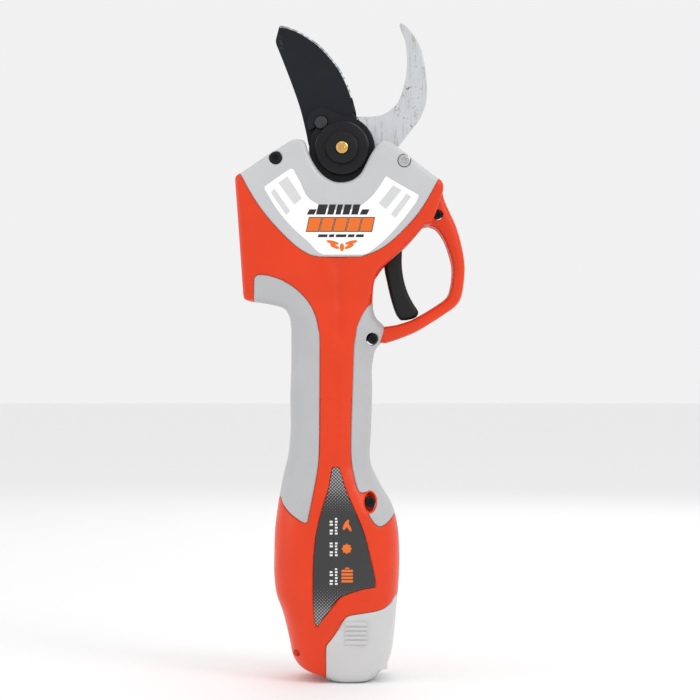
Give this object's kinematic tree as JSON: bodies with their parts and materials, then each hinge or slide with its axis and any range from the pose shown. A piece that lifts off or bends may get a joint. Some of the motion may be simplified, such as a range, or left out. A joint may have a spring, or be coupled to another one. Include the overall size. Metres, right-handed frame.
{
  "type": "battery electric pruner",
  "caption": "Hand-held battery pruner: a curved blade closes on a hooked counter blade, driven by a motor in the grip, with a guarded trigger and a slide-out battery.",
  "frame": {"origin": "on the battery foot, the flat that the tool stands on, straight below the blade pivot", "axes": "+Z from the battery foot to the jaws, +X towards the trigger guard, -Y is the front with the labels"},
  "size_m": [0.1144, 0.052, 0.3292],
  "materials": {
    "orange_plastic": "satin moulded",
    "grip_rubber": "soft matte",
    "light_plastic": "satin moulded",
    "white_film": "satin film",
    "black_film": "satin film",
    "battery_plastic": "satin moulded",
    "black_plastic": "fine texture",
    "coated_steel": "low-friction coating",
    "blade_steel": "ground",
    "plain_steel": "machined",
    "black_steel": "blackened",
    "brass": "machined",
    "bronze": "sintered",
    "aluminium": "die cast",
    "copper": "wound",
    "magnet": "nickel plated",
    "board": "solder mask",
    "cell_wrap": "shrink sleeve",
    "red_wire": "insulation"
  },
  "bodies": {
    "root": {"battery_lead": "red_wire", "contact_block": "black_plastic", "controller_board": "board", "finger_pad_front": "grip_rubber", "finger_pad_rear": "grip_rubber", "fixed_blade": "blade_steel", "front_shell": "orange_plastic", "grease_fitting": "brass", "grip_screw": "black_steel", "guard_screw": "black_steel", "head_cover_front": "light_plastic", "head_cover_rear": "light_plastic", "head_frame": "aluminium", "head_label": "white_film", "head_screw_left": "black_steel", "head_screw_right": "plain_steel", "housing_screw": "black_steel", "motor_can": "plain_steel", "motor_end_plate": "black_plastic", "motor_stator": "copper", "palm_pad_front": "grip_rubber", "palm_pad_rear": "grip_rubber", "phase_lead": "red_wire", "pinion_bearing": "plain_steel", "pivot_bolt": "black_steel", "pivot_nut": "plain_steel", "rear_shell": "orange_plastic", "ring_gear": "plain_steel", "status_label": "black_film", "thrust_washer": "bronze", "trigger_pin": "plain_steel", "trigger_sensor": "board", "trigger_spring": "plain_steel"},
    "blade": {"moving_blade": "coated_steel", "sector_gear": "black_steel", "drive_pin": "black_steel", "pivot_bush": "bronze"},
    "trigger": {"trigger": "black_plastic", "trigger_magnet": "magnet"},
    "battery": {"battery_case": "battery_plastic", "cell_1": "cell_wrap", "cell_2": "cell_wrap", "cell_3": "cell_wrap", "cell_4": "cell_wrap", "cell_link": "plain_steel", "battery_board": "board", "battery_cap": "black_plastic", "battery_terminals": "brass", "latch_front_spring": "plain_steel", "latch_rear_spring": "plain_steel"},
    "latch_front": {"latch_front": "battery_plastic"},
    "latch_rear": {"latch_rear": "battery_plastic"},
    "drive": {"bevel_pinion": "plain_steel", "planet_carrier": "plain_steel"},
    "rotor": {"sun_shaft": "plain_steel", "rotor_magnet": "magnet"},
    "planet_1": {"planet_gear_1": "plain_steel"},
    "planet_2": {"planet_gear_2": "plain_steel"},
    "planet_3": {"planet_gear_3": "plain_steel"},
    "power_button": {"power_button": "black_plastic"}
  },
  "joints": [
    {"name": "blade_pivot", "type": "hinge", "parent": "root", "child": "blade", "pos_m": [0, 0, 0.265], "axis": [0, 1, 0], "range_deg": [0, 56]},
    {"name": "trigger_squeeze", "type": "hinge", "parent": "root", "child": "trigger", "pos_m": [0.026, 0, 0.217], "axis": [0, 1, 0], "range_deg": [0, 12], "stiffness_Nm_per_rad": 0.12},
    {"name": "battery_release", "type": "slide", "parent": "root", "child": "battery", "axis": [0, 0, -1], "range_m": [0, 0.085]},
    {"name": "latch_front_press", "type": "slide", "parent": "battery", "child": "latch_front", "axis": [0, 1, 0], "range_m": [0, 0.0015], "stiffness_N_per_m": 600, "deforming": ["latch_front_spring"]},
    {"name": "latch_rear_press", "type": "slide", "parent": "battery", "child": "latch_rear", "axis": [0, -1, 0], "range_m": [0, 0.0015], "stiffness_N_per_m": 600, "deforming": ["latch_rear_spring"]},
    {"name": "pinion_spin", "type": "hinge", "parent": "root", "child": "drive", "pos_m": [0, 0, 0.265], "axis": [0.0506, 0, 0.9987], "range_deg": [-312, 1]},
    {"name": "rotor_spin", "type": "hinge", "parent": "root", "child": "rotor", "pos_m": [0, 0, 0.265], "axis": [0.0506, 0, 0.9987], "range_deg": [-1453, 1]},
    {"name": "planet_1_spin", "type": "hinge", "parent": "drive", "child": "planet_1", "pos_m": [0.00481, 0, 0.21469], "axis": [0.0506, 0, 0.9987], "range_deg": [-1, 857]},
    {"name": "planet_2_spin", "type": "hinge", "parent": "drive", "child": "planet_2", "pos_m": [-0.0062, 0.00636, 0.21525], "axis": [0.0506, 0, 0.9987], "range_deg": [-1, 857]},
    {"name": "planet_3_spin", "type": "hinge", "parent": "drive", "child": "planet_3", "pos_m": [-0.0062, -0.00636, 0.21525], "axis": [0.0506, 0, 0.9987], "range_deg": [-1, 857]},
    {"name": "power_button_press", "type": "slide", "parent": "root", "child": "power_button", "axis": [0, -1, 0], "range_m": [0, 0.0015], "stiffness_N_per_m": 500}
  ],
  "couplings": [
    {"joint": "pinion_spin", "follows": "blade_pivot", "ratio": -5.5556},
    {"joint": "rotor_spin", "follows": "blade_pivot", "ratio": -25.926},
    {"joint": "planet_1_spin", "follows": "blade_pivot", "ratio": 15.278},
    {"joint": "planet_2_spin", "follows": "blade_pivot", "ratio": 15.278},
    {"joint": "planet_3_spin", "follows": "blade_pivot", "ratio": 15.278}
  ]
}
